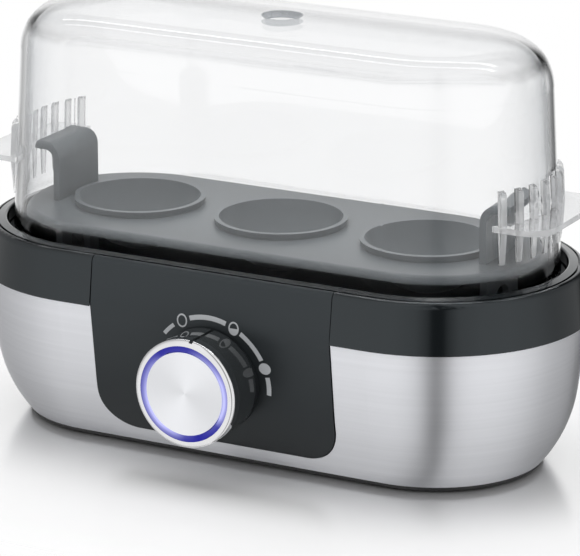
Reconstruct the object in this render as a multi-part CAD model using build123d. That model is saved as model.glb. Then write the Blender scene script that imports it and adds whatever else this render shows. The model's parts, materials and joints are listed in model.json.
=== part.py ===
from build123d import *
import math
import os

# Electric egg cooker. Millimetres, +X to the right, +Y to the back, +Z up.
# Plan shapes are racetracks: two half circles joined by straight sides, all about the same two end centres.
# A racetrack profile is drawn as (distance from the centre line, height).

# Overall body
base_length = 200.0       # at the lower edge of the band, where the base is widest
base_width = 95.0
rim_height = 62.6         # outer top edge of the band above the table
band_height = 15.2
ground_gap = 2.1          # lower edge of the steel above the table

# Fits shared by many pieces
overrun = 2.0             # how far a cut runs past what it cuts
slip = 0.1                # loose fit between fixed pieces
running = 0.05            # radial clearance of a turning shaft
apart = 0.3               # gap between pieces that move past each other

# Upper housing: the band, the rim and the shelf for the bowl
rim_taper = 2.1
rim_width = 5.3
lip_rise = 1.0
rim_round = 2.0
lip_round = 0.7
housing_wall = 2.0
band_wall = 2.6
deck_thickness = 2.6
groove_inset = 1.6
groove_width = 0.7
groove_depth = 0.9
shelf_thickness = 2.5
shelf_gap = 0.8

# Steel skirt
sheet = 0.8
skirt_step = 0.6
skirt_straight = 23.4
skirt_draft = 3.0
skirt_inset = 12.5
skirt_tongue = 0.9
skirt_lip = 1.6

# Heating bowl and its gasket
bowl_sheet = 1.2
bowl_depth = 13.8
bowl_ledge = 6.9
bowl_draft = 1.2
bowl_round = 4.0
flange_gap = 0.4
gasket_thickness = 1.5
gasket_width = 3.0

# Hood
hood_wall = 2.0
hood_gap = 2.1            # between the hood and the rim's inner edge
hood_sink = 3.6           # how far the hood's edge stands below the rim
hood_rise = 70.3          # top of the hood above the rim
hood_straight = 55.0
hood_draft = 2.85
hood_round = 14.0
crown_radius = 177.0
vent_diameter = 10.3
vent_bevel = 1.2

# Grip tabs at the ends of the hood
tab_height = 19.6         # above the rim
tab_thickness = 1.8
tab_width = 45.0
tab_reach = 9.2           # past the wall
tab_round = 8.0
rib_count = 8
rib_pitch_angle = 9.4
rib_thickness = 2.0
rib_depth = 1.8
rib_toe = 0.3
rib_half_height = 11.2
rib_root = 0.7            # how deep a rib is rooted in the wall

# Egg tray
tray_rise = 5.2           # top of the tray above the rim
tray_thickness = 2.5
tray_gap = 1.7            # between the tray and the hood
tray_round = 2.0
cup_end_place = 2.2       # middle of an end cup, short of the end centre
cup_space = 2.0           # least room between two cups
cup_radius = 18.6         # inside, at the tray's top
cup_depth = 12.4
cup_wall = 1.6
collar_height = 2.0
drain_radius = 6.0
handle_end_place = 20.2   # inner face of a handle from the end centre towards the end
handle_thickness = 2.2
handle_width = 24.4
handle_rise = 23.4        # top of a handle above the rim
handle_round = 2.0
handle_bend = 3.0
finger_lip = 6.9
leg_width = 22.0
leg_arch_width = 11.0
leg_arch_height = 13.0

# Base plate, feet and the screws that tie bowl, housing, skirt and plate together
plate_gap = 1.0           # under the plate
plate_thickness = 2.0
plate_fit = 0.4
plate_edge = 1.4
upstand_height = 4.0
upstand_wall = 1.8
foot_radius = 5.5
foot_chamfer = 0.4
foot_recess = 1.0
foot_end_place = 10.5     # from the end centre towards the end
foot_side_place = 23.5
slot_length = 20.0
slot_width = 2.4
slot_pitch = 6.0
slot_count = 5
slot_place = 24.0
tie_end_place = 19.5      # from the end centre towards the end
tie_side_place = 9.0
screw_radius = 2.0
screw_head_radius = 3.8
screw_head_height = 2.2
screw_head_recess = 0.8
screw_clearance = 0.3
tower_wall = 2.2
stud_radius = 3.5
stud_length = 6.0
stud_engagement = 4.0

# Gland for the cord, in the back of the skirt
gland_height = 31.0
gland_bore = 3.5
gland_wall = 1.8
gland_flange = 1.6
gland_flange_thickness = 1.4
gland_inner_length = 3.0

# Control panel
panel_end_gap = 1.0       # least straight side left at each end of the panel
panel_width_most = 81.8
panel_bottom = 7.6
panel_corner = 12.0
panel_wall = 2.2
panel_proud = 0.4
panel_seam = 0.3
panel_blend = 22.0
panel_flange = 2.0
panel_flange_thickness = 1.2
collar_inset = 0.7        # panel collar's radius under the knob's
collar_wall = 2.0

# Dial. Depths along the dial's axis are measured back from the front of the chrome ring.
knob_height = 30.0
knob_reach = 14.5         # past the widest part of the band
knob_radius = 16.9
knob_depth = 14.0
knob_gap = 0.5            # behind the knob
ring_depth = 3.7
ring_round = 1.2
barrel_step = 0.2
light_outer_radius = 14.9
light_width = 1.7
light_recess = 0.4
light_seat = 1.5
barrel_wall = 2.0
web_depth = 6.2
web_thickness = 2.0
hub_radius = 5.5
hub_length = 5.4
pointer_angle = 8.0       # clockwise from the top, seen from the front
pointer_width = 1.1
pointer_depth = 0.6
window_radius = 11.0
window_width = 2.8
window_angle = 70.0
window_count = 3
shaft_radius = 3.0
shaft_flat = 0.7
shaft_flange = 1.4
shaft_flange_thickness = 0.8
button_recess = 0.2
button_thickness = 2.4
button_dish = 0.25
press_travel = 1.2
plunger_radius = 1.5

# Rotary control behind the panel
bush_radius = 4.5
bush_nose = 0.3
nut_sides = 6
nut_flats = 11.0
nut_thickness = 2.2
pot_radius = 8.5
pot_depth = 8.0
pot_front_wall = 2.0
pot_cavity_radius = 4.8
switch_side = 6.0
switch_depth = 3.4
stem_radius = 1.6
stem_length = 1.6
stem_socket = 2.0

# Control board and what it carries
board_margin = 4.0        # panel past each end of the board
board_height = 24.0
board_drop = 2.5          # middle of the board below the dial's axis
board_edge = 1.0          # bare strip below what the board carries
board_thickness = 1.6
post_radius = 3.0
post_pilot = 1.2
post_inset = 5.0
board_screw_head_radius = 2.6
board_screw_head_height = 1.8
board_screw_length = 5.0
screw_tip_gap = 0.8
led_radius = 1.5
led_length = 5.0
led_count = 4
relay_size = (19.0, 15.0, 15.0)
terminal_size = (11.0, 11.0, 10.0)
block_inset = 8.4         # relay and terminal block from the ends of the board
buzzer_place = 5.0
buzzer_radius = 5.0
buzzer_depth = 9.5
buzzer_bore = 1.0

# Heating element and the sensors under the bowl
element_radius = 3.2
element_spacing = 32.0
element_tail_place = 3.5  # end of the tube past the end centre
element_bend_inset = 12.5  # middle of the bend, short of the end centre
terminal_pin_radius = 1.5
terminal_pin_length = 4.0
spade_length = 7.0
spade_width = 6.3
spade_thickness = 0.8
sensor_radius = 2.6
sensor_length = 16.0
fuse_radius = 2.0
fuse_length = 18.0
fuse_place = 22.0
clip_sheet = 0.6
clip_width = 7.0
clip_foot = 5.0

# Angles
half_turn = 180.0
full_turn = 360.0
right_angle = 90.0

# Shares
middle_share = 0.5
diagonal_share = math.sqrt(middle_share)

# Worked out from the sizes above
half_width = base_width / 2
end_centre = (base_length - base_width) / 2
rim_radius = half_width - rim_taper
opening_radius = rim_radius - rim_width
band_bottom = rim_height - band_height
lip_top = rim_height + lip_rise
groove_outer = rim_radius - groove_inset
groove_inner = groove_outer - groove_width

skirt_top_radius = half_width - skirt_step
knee_radius = skirt_top_radius - skirt_draft
knee_height = band_bottom - skirt_straight
skirt_foot_radius = skirt_top_radius - skirt_inset
skirt_slope = math.atan2(skirt_draft, skirt_straight)
inward = Vector(-math.cos(skirt_slope), math.sin(skirt_slope))
knee_to_foot = Vector(skirt_foot_radius - knee_radius, ground_gap - knee_height)
skirt_arc_radius = knee_to_foot.dot(knee_to_foot) / (2 * knee_to_foot.dot(inward))
skirt_arc_centre = Vector(knee_radius, knee_height) + inward * skirt_arc_radius

flange_top = rim_height - hood_sink
flange_radius = opening_radius - flange_gap
shelf_top = flange_top - bowl_sheet - gasket_thickness
bowl_radius = opening_radius - bowl_ledge
bowl_floor = flange_top - bowl_depth
bowl_underside = bowl_floor - bowl_sheet

hood_rim_radius = opening_radius - hood_gap
hood_top = rim_height + hood_rise
tray_top = rim_height + tray_rise
tray_bottom = tray_top - tray_thickness
handle_place = end_centre + handle_end_place
cup_span = 2 * (end_centre - cup_end_place)
cup_gaps = int(cup_span / (2 * (cup_radius + cup_wall) + cup_space))

plate_top = plate_gap + plate_thickness
plate_radius = skirt_foot_radius - skirt_lip - plate_fit
tie_place = (end_centre + tie_end_place, tie_side_place)
stud_bottom = bowl_underside - stud_length

panel_half = min(panel_width_most / 2, end_centre - panel_end_gap)
panel_width = 2 * panel_half
knob_front = -(half_width + knob_reach)
collar_front_depth = knob_depth + knob_gap
pot_front_depth = collar_front_depth + collar_wall
board_front_depth = pot_front_depth + pot_depth
board_front = knob_front + board_front_depth
board_back = board_front + board_thickness
board_middle = knob_height - board_drop
board_width = panel_width - 2 * board_margin
board_low = board_middle - board_height / 2 + board_edge
collar_radius = knob_radius - collar_inset
light_inner_radius = light_outer_radius - light_width
button_radius = light_inner_radius - apart
switch_front_depth = board_front_depth - switch_depth
stem_front_depth = switch_front_depth + apart - stem_length
shaft_bore = plunger_radius + running
shaft_back_depth = stem_front_depth - apart
element_tail = end_centre + element_tail_place
element_bend_place = end_centre - element_bend_inset
frame_shift = knob_reach / 2      # puts the middle of the whole box over the origin

# The dial's own frame: Z runs back along its axis, and minus Y points up
dial_frame = Plane(origin=(0, knob_front, knob_height), x_dir=(1, 0, 0), z_dir=(0, 1, 0))


# Helpers


def polygon(*points):
    return make_face(Polyline(*points, close=True))


def round_corner(face, corner, radius):
    """Round the corner of a flat face that lies nearest to a point."""
    place = Vector(*corner)
    nearest = min(face.vertices(), key=lambda vertex: (vertex.center() - place).length)
    return fillet(nearest, radius)


def racetrack(profile):
    """Carry a profile round the racetrack."""
    section = Plane.XZ * profile
    end = Pos(end_centre, 0, 0) * Rot(0, 0, -right_angle) * revolve(section, Axis.Z, half_turn)
    start = Pos(-end_centre, 0, 0) * Rot(0, 0, -right_angle) * section
    side = extrude(start, amount=2 * end_centre, dir=(1, 0, 0))
    half = end + mirror(end, about=Plane.YZ) + side
    return half + mirror(side, about=Plane.XZ)


def ring_profile(inner, outer, low, high):
    return polygon((inner, low), (outer, low), (outer, high), (inner, high))


def turned(profile):
    """Turn a profile of (radius, depth) about the dial's axis, in the dial's own frame."""
    return revolve(Plane.XZ * profile, Axis.Z, full_turn)


def disc(radius, low, high):
    return Pos(0, 0, low) * extrude(Circle(radius), amount=high - low)


def four_places(along, across):
    return [(x, y) for x in (-along, along) for y in (-across, across)]


def skirt_radius(height):
    """Outer face of the skirt: a drafted straight stretch, then a tangent arc in to the foot."""
    if height >= knee_height:
        return skirt_top_radius - skirt_draft * (band_bottom - height) / skirt_straight
    rise = height - skirt_arc_centre.Y
    return skirt_arc_centre.X + math.sqrt(skirt_arc_radius ** 2 - rise ** 2)


def skirt_line(shift, low, high):
    """The skirt's outer line from high down to low, moved out by shift."""
    knee = (knee_radius + shift, knee_height)
    between = knee_height + (low - knee_height) * middle_share
    straight = Line((skirt_radius(high) + shift, high), knee)
    arc = ThreePointArc(knee, (skirt_radius(between) + shift, between), (skirt_radius(low) + shift, low))
    return [straight, arc]


def skirt_layer(outer, inner, low, high):
    """A profile between two lines that follow the skirt."""
    top = Line((skirt_radius(high) + inner, high), (skirt_radius(high) + outer, high))
    bottom = Line((skirt_radius(low) + inner, low), (skirt_radius(low) + outer, low))
    return make_face([top, bottom] + skirt_line(outer, low, high) + skirt_line(inner, low, high))


def front_run(profile, width):
    """Extrude a profile along the straight front side."""
    start = Pos(-width / 2, 0, 0) * Rot(0, 0, -right_angle) * (Plane.XZ * profile)
    return extrude(start, amount=width, dir=(1, 0, 0))


def panel_outline(grow):
    """A prism from front to middle with the panel's outline: square above, rounded at its lower corners."""
    low = panel_bottom - grow
    high = lip_top + overrun
    face = Pos(0, (low + high) / 2) * Rectangle(panel_width + 2 * grow, high - low)
    face = fillet(face.vertices().group_by(Axis.Y)[0], panel_corner + grow)
    return extrude(Plane.XZ * face, amount=half_width + overrun)


def arc_windows(radius, low, high):
    """Arc-shaped windows round the dial's axis that let the light through."""
    arc = CenterArc((0, 0), radius, -right_angle - window_angle / 2, window_angle)
    window = Pos(0, 0, low) * extrude(SlotArc(arc, window_width), amount=high - low)
    return [Rot(0, 0, index * full_turn / window_count) * window for index in range(window_count)]


# Hood


def hood_radius(height):
    return hood_rim_radius - hood_draft * (height - rim_height) / hood_straight


def crown_height(radius, top):
    return top - crown_radius + math.sqrt(crown_radius ** 2 - radius ** 2)


def hood_solid_profile(inset, low):
    """The hood's outline from the centre line out, drawn in by inset and reaching down to low."""
    top = hood_top - inset
    edge = hood_radius(hood_top) - inset
    shoulder = (edge, crown_height(edge, top))
    halfway = (edge * middle_share, crown_height(edge * middle_share, top))
    face = make_face([
        ThreePointArc((0, top), halfway, shoulder),
        Line(shoulder, (hood_radius(low) - inset, low)),
        Line((hood_radius(low) - inset, low), (0, low)),
        Line((0, low), (0, top)),
    ])
    return round_corner(face, shoulder, hood_round - inset)


def hood_rib():
    tab_middle = rim_height + tab_height
    low = tab_middle - rib_half_height
    high = tab_middle + rib_half_height
    bend = high - rib_depth
    wall = hood_radius(bend)
    face = make_face([
        Polyline(
            (hood_radius(high), high),
            (hood_radius(high) - rib_root, high),
            (hood_radius(low) - rib_root, low),
            (hood_radius(low) + rib_toe, low),
            (hood_radius(tab_middle) + rib_depth, tab_middle),
            (wall + rib_depth, bend),
        ),
        ThreePointArc(
            (wall + rib_depth, bend),
            (wall + rib_depth * diagonal_share, bend + rib_depth * diagonal_share),
            (hood_radius(high), high),
        ),
    ])
    return extrude(Plane.XZ * face, amount=rib_thickness / 2, both=True)


def hood_grip():
    """The tab and its ribs at the right end."""
    wall = hood_radius(rim_height + tab_height)
    reach = wall + tab_reach
    plan = Pos(reach / 2, 0) * Rectangle(reach, tab_width)
    plan = fillet(plan.vertices().group_by(Axis.X)[-1], tab_round)
    plan -= Circle(wall - rib_root)
    plan -= Pos(-overrun, 0) * Rectangle(2 * overrun, tab_width)
    tab_low = rim_height + tab_height - tab_thickness / 2
    grip = Pos(0, 0, tab_low) * extrude(plan, amount=tab_thickness)
    first = -rib_pitch_angle * (rib_count - 1) / 2
    for index in range(rib_count):
        grip += Rot(0, 0, first + index * rib_pitch_angle) * hood_rib()
    return Pos(end_centre, 0, 0) * grip


def make_hood():
    hollow = hood_solid_profile(hood_wall, flange_top - overrun)
    shell = racetrack(hood_solid_profile(0, flange_top) - hollow)
    grip = hood_grip()
    shell += grip
    shell += mirror(grip, about=Plane.YZ)
    vent = vent_diameter / 2
    bevel = Cone(vent, vent + vent_bevel, vent_bevel, align=(Align.CENTER, Align.CENTER, Align.MAX))
    shell -= Pos(0, 0, hood_top) * bevel
    shell -= disc(vent, hood_top - hood_wall - overrun, hood_top + overrun)
    return shell


# Egg tray


def cup_places():
    """As many cups as there is room for, in an even row."""
    if cup_gaps == 0:
        return [0]
    return [cup_span * (index / cup_gaps - middle_share) for index in range(cup_gaps + 1)]


def cup_sphere():
    """Height of the centre and radius of the sphere that the inside of a cup is part of."""
    floor = tray_top - cup_depth
    spread = cup_radius ** 2 - drain_radius ** 2 + tray_top ** 2 - floor ** 2
    centre = spread / (2 * cup_depth)
    return centre, math.hypot(cup_radius, tray_top - centre)


def cup_block(radius, low, high):
    centre, _ = cup_sphere()
    slab = Pos(radius / 2, (low + high) / 2) * Rectangle(radius, high - low)
    return revolve(Plane.XZ * (Pos(0, centre) * Circle(radius) & slab), Axis.Z, full_turn)


def tray_handle():
    """The handle at the right end, with its finger lip, and the leg that carries on below the tray."""
    inner = handle_place
    outer = handle_place + handle_thickness
    top = rim_height + handle_rise
    tip = outer + finger_lip
    side = polygon(
        (inner, tray_bottom), (inner, top), (tip, top), (tip, top - handle_thickness),
        (outer, top - handle_thickness), (outer, tray_bottom),
    )
    side = round_corner(side, (inner, top), handle_bend + handle_thickness)
    side = round_corner(side, (outer, top - handle_thickness), handle_bend)
    front = Pos(0, top - handle_rise) * Rectangle(handle_width, 2 * handle_rise)
    front = fillet(front.vertices().group_by(Axis.Y)[-1], handle_round)
    grip = extrude(Plane.XZ * side, amount=handle_width / 2, both=True)
    grip &= extrude(Plane.YZ * front, amount=tip + overrun)
    leg_height = tray_bottom - bowl_floor
    leg = Pos(0, bowl_floor + leg_height / 2) * Rectangle(leg_width, leg_height)
    arch = Pos(0, bowl_floor) * SlotOverall(2 * leg_arch_height, leg_arch_width, rotation=right_angle)
    leg = Pos(inner, 0, 0) * extrude(Plane.YZ * (leg - arch), amount=handle_thickness)
    return grip + leg


def make_egg_tray():
    radius = hood_radius(tray_top) - hood_wall - tray_gap
    plate = ring_profile(0, radius, tray_bottom, tray_top)
    tray = racetrack(round_corner(plate, (radius, tray_top), tray_round))
    handle = tray_handle()
    tray += handle
    tray += mirror(handle, about=Plane.YZ)
    centre, inside = cup_sphere()
    outside = inside + cup_wall
    collar_top = tray_top + collar_height
    cup = cup_block(outside, centre - outside, collar_top)
    hollow = cup_block(inside, centre - inside, collar_top + overrun)
    hollow += disc(drain_radius, bowl_floor, tray_top)
    for place in cup_places():
        tray += Pos(place, 0, 0) * cup
    for place in cup_places():
        tray -= Pos(place, 0, 0) * hollow
    return tray


# Bowl, housing, skirt and base


def make_heating_bowl():
    floor_radius = bowl_radius - bowl_draft
    face = polygon(
        (0, bowl_underside), (floor_radius + bowl_sheet, bowl_underside),
        (bowl_radius + bowl_sheet, flange_top - bowl_sheet), (flange_radius, flange_top - bowl_sheet),
        (flange_radius, flange_top), (bowl_radius, flange_top), (floor_radius, bowl_floor), (0, bowl_floor),
    )
    face = round_corner(face, (floor_radius, bowl_floor), bowl_round)
    face = round_corner(face, (floor_radius + bowl_sheet, bowl_underside), bowl_round + bowl_sheet)
    face = round_corner(face, (bowl_radius, flange_top), bowl_sheet)
    return racetrack(face)


def make_bowl_studs():
    stud = disc(stud_radius, stud_bottom, bowl_underside)
    stud -= disc(screw_radius + running, stud_bottom - overrun, stud_bottom + stud_engagement + apart)
    return [Pos(x, y, 0) * stud for x, y in four_places(*tie_place)]


def make_bowl_gasket():
    outer = flange_radius - slip
    return racetrack(ring_profile(outer - gasket_width, outer, shelf_top, flange_top - bowl_sheet))


def deck_height(radius):
    """Top of the rim, which rises from its outer edge to its lip."""
    return rim_height + lip_rise * (rim_radius - radius) / rim_width


def make_upper_housing():
    lip_back = opening_radius + housing_wall
    shelf_bottom = shelf_top - shelf_thickness
    shelf_edge = bowl_radius + bowl_sheet + shelf_gap
    face = polygon(
        (half_width, band_bottom), (rim_radius, rim_height), (opening_radius, lip_top),
        (opening_radius, shelf_top), (shelf_edge, shelf_top), (shelf_edge, shelf_bottom),
        (lip_back, shelf_bottom), (lip_back, rim_height - deck_thickness),
        (rim_radius - housing_wall + slip, rim_height - deck_thickness),
        (half_width - band_wall, band_bottom),
    )
    face = round_corner(face, (rim_radius, rim_height), rim_round)
    face = round_corner(face, (opening_radius, lip_top), lip_round)
    housing = racetrack(face)
    housing -= racetrack(ring_profile(groove_inner, groove_outer, rim_height - groove_depth, lip_top))
    tongue_top = band_bottom + skirt_tongue
    tongue_inner = skirt_top_radius - sheet - slip
    tongue_outer = skirt_radius(tongue_top) + slip
    housing -= racetrack(ring_profile(tongue_inner, tongue_outer, band_bottom, tongue_top + slip))
    gap = ring_profile(groove_inner, half_width + overrun, band_bottom - overrun, lip_top + overrun)
    return housing - front_run(gap, panel_width + 2 * panel_seam)


def make_steel_skirt():
    top = band_bottom + skirt_tongue
    lip = skirt_foot_radius - skirt_lip
    folded = ground_gap + sheet
    face = skirt_layer(0, -sheet, ground_gap, top)
    face += polygon(
        (lip, ground_gap), (skirt_foot_radius - sheet * middle_share, ground_gap),
        (skirt_radius(folded) - sheet * middle_share, folded), (lip, folded),
    )
    skirt = racetrack(face) - panel_outline(panel_seam)
    return skirt - gland_frame() * disc(gland_bore + gland_wall + slip, -overrun - sheet, overrun)


def gland_frame():
    """On the outside of the skirt's straight back, square to it, with Z pointing out."""
    place = (0, skirt_radius(gland_height), gland_height)
    return Plane(origin=place, x_dir=(1, 0, 0), z_dir=(0, math.cos(skirt_slope), -math.sin(skirt_slope)))


def make_cord_gland():
    body = gland_bore + gland_wall
    gland = disc(body, -gland_inner_length, 0)
    gland += disc(body + gland_flange, 0, gland_flange_thickness)
    gland -= disc(gland_bore, -gland_inner_length - overrun, gland_flange_thickness + overrun)
    return gland_frame() * gland


def make_base_plate():
    upstand_inner = plate_radius - upstand_wall
    upstand_top = plate_top + upstand_height
    face = polygon(
        (0, plate_gap), (plate_radius + plate_edge, plate_gap), (plate_radius + plate_edge, ground_gap),
        (plate_radius, ground_gap), (plate_radius, upstand_top), (upstand_inner, upstand_top),
        (upstand_inner, plate_top), (0, plate_top),
    )
    plate = racetrack(face)
    shank = screw_radius + screw_clearance
    head = screw_head_radius + screw_clearance
    seat = plate_gap + screw_head_recess + screw_head_height
    for x, y in four_places(*tie_place):
        tower = disc(shank + tower_wall, plate_top, stud_bottom)
        tower += disc(head + tower_wall, plate_gap, seat + tower_wall)
        tower -= disc(shank, plate_gap - overrun, stud_bottom + overrun)
        tower -= disc(head, plate_gap - overrun, seat)
        plate -= Pos(x, y, 0) * disc(head, plate_gap - overrun, plate_top + overrun)
        plate += Pos(x, y, 0) * tower
    for x, y in four_places(end_centre + foot_end_place, foot_side_place):
        plate -= Pos(x, y, 0) * disc(foot_radius, plate_gap - overrun, plate_gap + foot_recess)
    slot = Pos(0, 0, plate_gap - overrun) * extrude(
        SlotOverall(slot_length, slot_width), amount=plate_thickness + 2 * overrun)
    for index in range(slot_count):
        row = (index - (slot_count - 1) / 2) * slot_pitch
        plate -= Pos(-slot_place, row, 0) * slot
        plate -= Pos(slot_place, row, 0) * slot
    return plate


def make_rubber_feet():
    foot = disc(foot_radius, 0, plate_gap + foot_recess)
    foot = chamfer(foot.edges().group_by(Axis.Z)[0], foot_chamfer)
    return [Pos(x, y, 0) * foot for x, y in four_places(end_centre + foot_end_place, foot_side_place)]


def make_base_screws():
    head_low = plate_gap + screw_head_recess
    seat = head_low + screw_head_height
    screw = disc(screw_head_radius, head_low, seat)
    screw += disc(screw_radius, seat, stud_bottom + stud_engagement)
    return [Pos(x, y, 0) * screw for x, y in four_places(*tie_place)]


# Control panel


def panel_shell():
    """Follows the band and the skirt, a little proud of the steel, with a soft bend where they meet."""
    outer = panel_proud
    inner = panel_proud - panel_wall
    low = panel_bottom
    shell_top = (groove_outer, deck_height(groove_outer))
    under_top = (groove_outer, rim_height - deck_thickness)
    face = make_face([
        Line((skirt_radius(band_bottom) + outer, band_bottom), (rim_radius, rim_height)),
        Polyline((rim_radius, rim_height), shell_top, under_top,
                 (skirt_radius(band_bottom) + inner, band_bottom)),
        Line((skirt_radius(low) + inner, low), (skirt_radius(low) + outer, low)),
    ] + skirt_line(outer, low, band_bottom) + skirt_line(inner, low, band_bottom))
    face = round_corner(face, (skirt_radius(band_bottom) + outer, band_bottom), panel_blend)
    face = round_corner(face, (rim_radius, rim_height), rim_round)
    return front_run(face, panel_width) & panel_outline(0)


def make_control_panel():
    panel = panel_shell()
    flange_outer = -sheet - slip
    flange_low = panel_bottom - panel_flange
    flange_inner = flange_outer - panel_flange_thickness
    flange = skirt_layer(flange_outer, flange_inner, flange_low, band_bottom - slip)
    rim = front_run(flange, panel_width + 2 * panel_flange) & panel_outline(panel_flange)
    panel += rim - panel_outline(-panel_flange)
    behind = skirt_layer(panel_proud - panel_wall, -half_width, panel_bottom, band_bottom)
    collar = dial_frame * disc(collar_radius, collar_front_depth, half_width)
    panel += collar - front_run(behind, panel_width)
    panel -= dial_frame * disc(collar_radius - collar_wall, pot_front_depth, half_width)
    panel -= dial_frame * disc(bush_radius + slip, collar_front_depth - overrun, pot_front_depth + overrun)
    for window in arc_windows(window_radius, collar_front_depth - overrun, pot_front_depth + overrun):
        panel -= dial_frame * window
    for x, z in board_posts():
        post = Cylinder(post_radius, post_reach(z), align=(Align.CENTER, Align.CENTER, Align.MIN))
        post -= Cylinder(post_pilot, 2 * board_screw_length)
        panel += Plane(origin=(x, board_front, z), z_dir=(0, -1, 0)) * post
    return panel


# Dial


def make_knob_ring():
    face = ring_profile(light_outer_radius, knob_radius, 0, ring_depth)
    face = round_corner(face, (knob_radius, 0), ring_round)
    return dial_frame * (turned(face) - pointer_notch(knob_radius))


def pointer_notch(radius):
    """A groove along the side of the dial, turned to the pointer's angle."""
    bar = Pos(0, -radius, knob_depth / 2) * Box(pointer_width, 2 * pointer_depth, knob_depth + overrun)
    return Rot(0, 0, pointer_angle) * bar


def make_light_ring():
    outer = light_outer_radius - slip
    back = ring_depth + light_seat
    return dial_frame * turned(ring_profile(light_inner_radius, outer, light_recess, back))


def make_knob_body():
    barrel = knob_radius - barrel_step
    seat_depth = ring_depth + light_seat
    pocket = button_radius + apart
    hollow = barrel - barrel_wall
    web_back = web_depth + web_thickness
    hub_back = web_depth + hub_length
    face = polygon(
        (0, web_depth), (pocket, web_depth), (pocket, seat_depth), (light_outer_radius, seat_depth),
        (light_outer_radius, ring_depth), (barrel, ring_depth), (barrel, knob_depth), (hollow, knob_depth),
        (hollow, web_back), (hub_radius, web_back), (hub_radius, hub_back), (0, hub_back),
    )
    body = turned(face) - pointer_notch(barrel)
    bore = shaft_section(shaft_radius + running, shaft_flat)
    body -= Pos(0, 0, web_depth - overrun) * extrude(bore, amount=hub_length + 2 * overrun)
    for window in arc_windows(window_radius, web_depth - overrun, web_back + overrun):
        body -= window
    return dial_frame * body


def shaft_section(radius, flat):
    """A round section with one flat that keeps the knob from slipping."""
    cut = Pos(0, radius - flat / 2) * Rectangle(2 * radius, flat)
    return Circle(radius) - cut


def make_knob_shaft():
    back = shaft_back_depth
    shaft = disc(shaft_radius, web_depth, back)
    hub_end = web_depth + hub_length
    flat = Circle(shaft_radius + overrun) - shaft_section(shaft_radius, shaft_flat)
    flat &= Pos(0, shaft_radius) * Rectangle(2 * shaft_radius, 2 * shaft_flat)
    shaft -= Pos(0, 0, web_depth - overrun) * extrude(flat, amount=hub_end - web_depth + overrun)
    shaft += disc(shaft_radius + shaft_flange, back - shaft_flange_thickness, back)
    shaft -= disc(shaft_bore, web_depth - overrun, back + overrun)
    return dial_frame * shaft


def make_start_button():
    back = button_recess + button_thickness
    face = polygon(
        (0, button_recess + button_dish), (button_radius, button_recess), (button_radius, back), (0, back),
    )
    return dial_frame * turned(face)


def make_button_plunger():
    return dial_frame * disc(plunger_radius, button_recess + button_thickness, stem_front_depth)


# Rotary control and switch


def make_panel_bush():
    front = collar_front_depth - nut_thickness - bush_nose
    bush = disc(bush_radius, front, pot_front_depth)
    return dial_frame * (bush - disc(shaft_radius + running, front - overrun, pot_front_depth + overrun))


def make_bush_nut():
    corner = nut_flats / 2 / math.cos(math.radians(half_turn / nut_sides))
    nut = extrude(RegularPolygon(corner, nut_sides) - Circle(bush_radius + slip), amount=nut_thickness)
    return dial_frame * (Pos(0, 0, collar_front_depth - nut_thickness) * nut)


def make_potentiometer():
    wall_back = pot_front_depth + pot_front_wall
    can = disc(pot_radius, pot_front_depth, board_front_depth)
    can -= disc(shaft_radius + running, pot_front_depth - overrun, wall_back + overrun)
    can -= disc(pot_cavity_radius, wall_back, board_front_depth + overrun)
    return dial_frame * can


def make_tact_switch():
    block = extrude(Rectangle(switch_side, switch_side), amount=switch_depth)
    block = Pos(0, 0, switch_front_depth) * block
    socket = disc(stem_radius + apart, switch_front_depth - overrun, switch_front_depth + stem_socket)
    return dial_frame * (block - socket)


def make_switch_stem():
    return dial_frame * disc(stem_radius, stem_front_depth, stem_front_depth + stem_length)


# Control board


def board_posts():
    across = board_width / 2 - post_inset
    up = board_height / 2 - post_inset
    return [(x, board_middle + z) for x, z in four_places(across, up)]


def post_reach(height):
    """How far a post runs from the board into the panel's wall."""
    return skirt_radius(height) + panel_proud - panel_wall * middle_share + board_front


def make_control_board():
    middle = (board_front + board_back) / 2
    board = Pos(0, middle, board_middle) * Box(board_width, board_thickness, board_height)
    hole = Cylinder(post_pilot + slip, board_thickness + 2 * overrun, rotation=(right_angle, 0, 0))
    for x, z in board_posts():
        board -= Pos(x, middle, z) * hole
    return board


def make_board_screws():
    shortest = min(post_reach(z) for _, z in board_posts()) - panel_wall * middle_share
    length = min(board_screw_length, board_thickness + shortest - screw_tip_gap)
    screw = disc(board_screw_head_radius, 0, board_screw_head_height)
    screw += disc(post_pilot - running, -length, 0)
    return [Plane(origin=(x, board_back, z), z_dir=(0, 1, 0)) * screw for x, z in board_posts()]


def make_ring_leds():
    low = board_front_depth - led_length
    barrel = disc(led_radius, low + led_radius, board_front_depth)
    led = barrel + Pos(0, 0, low + led_radius) * Sphere(led_radius)
    first = full_turn / led_count / 2
    places = [first + index * full_turn / led_count for index in range(led_count)]
    return [dial_frame * (Rot(0, 0, angle) * (Pos(window_radius, 0, 0) * led)) for angle in places]


def block_place(size):
    """Middle of a block that stands near the right end of the board."""
    return board_width / 2 - block_inset - size[0] / 2


def block_on_board(place, size):
    """A block on the back of the board, at its lower edge."""
    width, depth, height = size
    return Pos(place, board_back + depth / 2, board_low + height / 2) * Box(width, depth, height)


def make_buzzer():
    can = disc(buzzer_radius, 0, buzzer_depth) - disc(buzzer_bore, buzzer_depth / 2, buzzer_depth + overrun)
    place = (-buzzer_place, board_back, board_low + buzzer_radius)
    return Plane(origin=place, z_dir=(0, 1, 0)) * can


# Heating element and sensors


def element_height():
    return bowl_underside - slip - element_radius


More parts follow.
